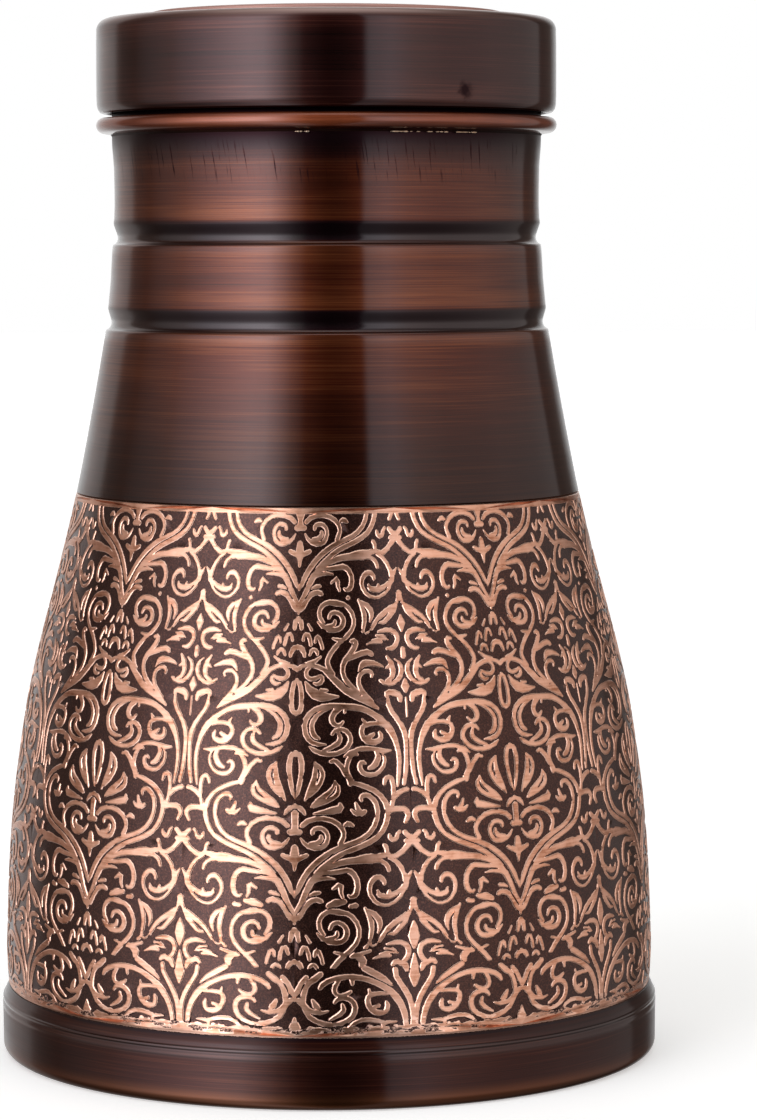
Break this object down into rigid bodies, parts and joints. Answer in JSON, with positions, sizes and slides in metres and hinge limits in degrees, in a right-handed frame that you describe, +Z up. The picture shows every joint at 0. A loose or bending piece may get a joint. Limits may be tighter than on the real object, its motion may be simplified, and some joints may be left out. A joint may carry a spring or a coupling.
{
  "type": "copper water jug",
  "caption": "Round sheet-copper water jug with an etched lower body, a grooved neck, a half-round mouth ring and a flat lift-off lid with an inner collar.",
  "frame": {"origin": "centre of the circle that the jug stands on", "axes": "+Z up along the jug's axis of revolution"},
  "size_m": [0.1278, 0.1278, 0.2013],
  "materials": {
    "foot_copper": "dark lacquered copper, turned",
    "raw_copper": "bare brushed copper",
    "etched_copper": "acid-etched copper, polished relief on a dark pitted ground",
    "neck_copper": "dark lacquered copper, fine turning lines",
    "ring_copper": "polished orange copper",
    "braze": "rough brass braze",
    "lid_copper": "dark lacquered copper, fine turning lines",
    "disc_copper": "satin copper"
  },
  "bodies": {
    "jug": {"foot_ring": "foot_copper", "bottom_plate": "raw_copper", "etched_wall": "etched_copper", "neck_shell": "neck_copper", "rim_ring": "ring_copper", "rim_braze": "braze"},
    "lid": {"lid_cap": "lid_copper", "lid_disc": "disc_copper", "lid_collar": "raw_copper"}
  },
  "joints": [
    {"name": "lid_lift", "type": "slide", "parent": "jug", "child": "lid", "axis": [0, 0, 1], "range_m": [0, 0.06]}
  ]
}
